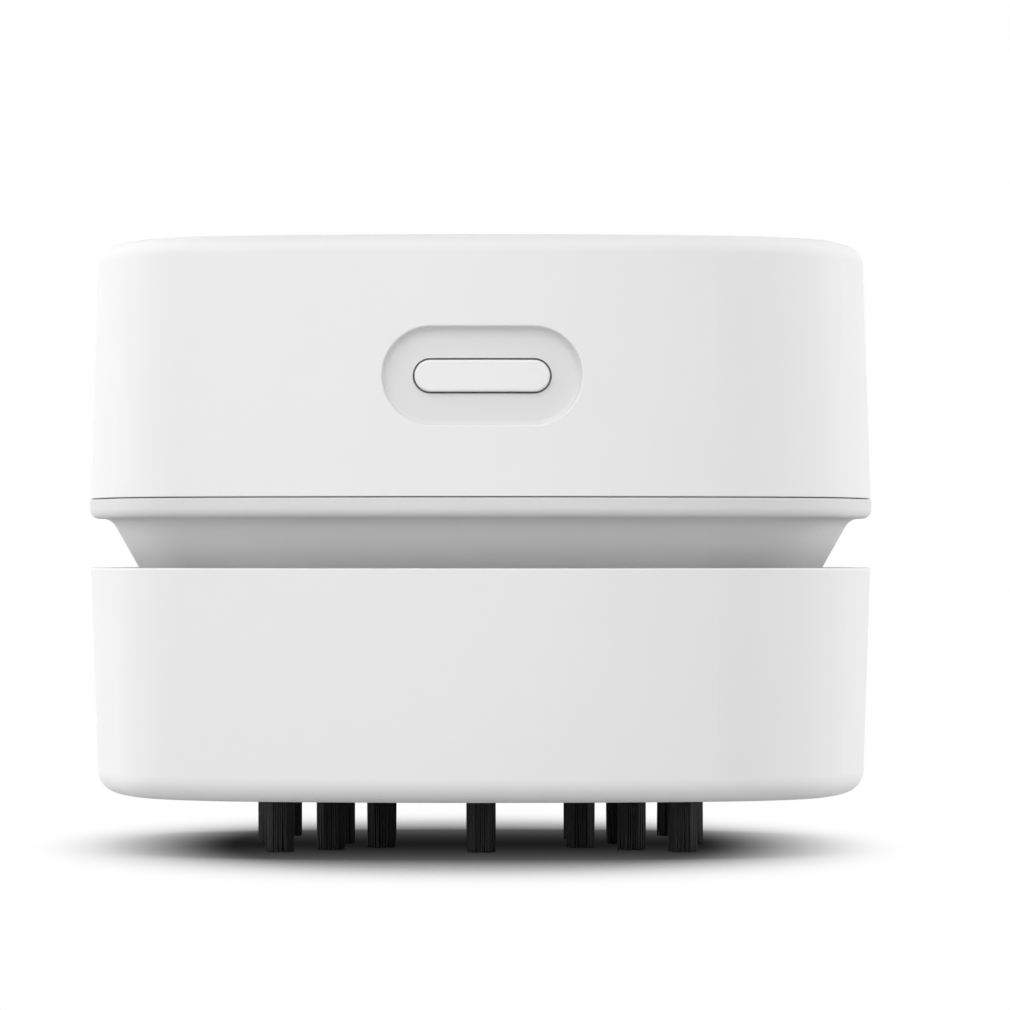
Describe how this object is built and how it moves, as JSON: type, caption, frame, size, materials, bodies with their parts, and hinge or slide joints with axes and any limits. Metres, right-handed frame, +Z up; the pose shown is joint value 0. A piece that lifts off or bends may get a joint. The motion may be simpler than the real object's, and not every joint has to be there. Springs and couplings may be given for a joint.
{
  "type": "desktop mini vacuum cleaner",
  "caption": "Palm-sized cordless desk vacuum: a rounded-square power unit with a front push button lifts out of a dust bin that stands on bristle tufts around its suction inlet.",
  "frame": {"origin": "on the table under the middle of the brush, at the level of the bristle ends", "axes": "+Z up along the fan's axis; -Y is the front, where the power button is; +X is to the right seen from the front"},
  "size_m": [0.08, 0.08, 0.061],
  "materials": {
    "shell_white": "satin moulded ABS",
    "housing_white": "satin moulded ABS",
    "bin_white": "satin moulded ABS",
    "button_white": "polished moulded ABS",
    "bristle_black": "cut nylon filaments",
    "seal_rubber": "moulded silicone",
    "bracket_grey": "fine moulded texture",
    "screw_steel": "zinc plated",
    "switch_black": "moulded",
    "board_green": "solder mask",
    "socket_steel": "stamped and plated",
    "capacitor_tan": "fired ceramic",
    "lens_clear": "clear acrylic",
    "cell_wrap": "shrink-wrapped cell",
    "nickel_strip": "nickel strip",
    "lead_red": "soft insulation",
    "lead_black": "soft insulation",
    "motor_steel": "drawn and plated can",
    "cap_black": "moulded",
    "magnet_grey": "sintered ferrite",
    "terminal_brass": "stamped",
    "carbon_black": "pressed carbon",
    "bush_bronze": "sintered",
    "shaft_steel": "ground",
    "core_steel": "stamped laminations",
    "winding_copper": "enamelled wire",
    "impeller_black": "moulded",
    "filter_grey": "moulded",
    "mesh_steel": "woven wire",
    "pad_grey": "open foam"
  },
  "bodies": {
    "dust_bin": {"dust_bin": "bin_white", "brush_plate": "bin_white", "brush_tufts": "bristle_black"},
    "power_unit": {"neck_housing": "housing_white", "housing_seal": "seal_rubber", "inner_bracket": "bracket_grey", "housing_screws": "screw_steel", "upper_shell": "shell_white", "power_switch": "switch_black", "switch_board": "board_green", "control_board": "board_green", "board_screws": "screw_steel", "charge_socket": "socket_steel", "charging_chip": "switch_black", "board_capacitors": "capacitor_tan", "charge_led": "lens_clear", "light_pipe": "lens_clear", "battery": "cell_wrap", "battery_tabs": "nickel_strip", "battery_leads": "lead_red", "motor_leads": "lead_black", "switch_leads": "lead_black", "motor_can": "motor_steel", "motor_end_cap": "cap_black", "motor_magnets": "magnet_grey", "motor_terminals": "terminal_brass", "carbon_brushes": "carbon_black", "lower_bush": "bush_bronze", "upper_bush": "bush_bronze", "motor_screws": "screw_steel"},
    "power_button": {"power_button": "button_white", "switch_plunger": "switch_black"},
    "rotor": {"motor_shaft": "shaft_steel", "armature_core": "core_steel", "armature_windings": "winding_copper", "commutator": "winding_copper", "impeller": "impeller_black"},
    "filter": {"filter_frame": "filter_grey", "filter_mesh": "mesh_steel", "filter_pad": "pad_grey"}
  },
  "joints": [
    {"name": "unit_lift", "type": "slide", "parent": "dust_bin", "child": "power_unit", "axis": [0, 0, 1], "range_m": [0, 0.04]},
    {"name": "button_press", "type": "slide", "parent": "power_unit", "child": "power_button", "axis": [0, 1, 0], "range_m": [0, 0.0008], "stiffness_N_per_m": 600, "springref_m": -0.0008},
    {"name": "fan_spin", "type": "hinge", "parent": "power_unit", "child": "rotor", "pos_m": [0, 0, 0.0441], "axis": [0, 0, 1], "continuous": true},
    {"name": "filter_pull", "type": "slide", "parent": "power_unit", "child": "filter", "axis": [0, 0, -1], "range_m": [0, 0.003]}
  ]
}
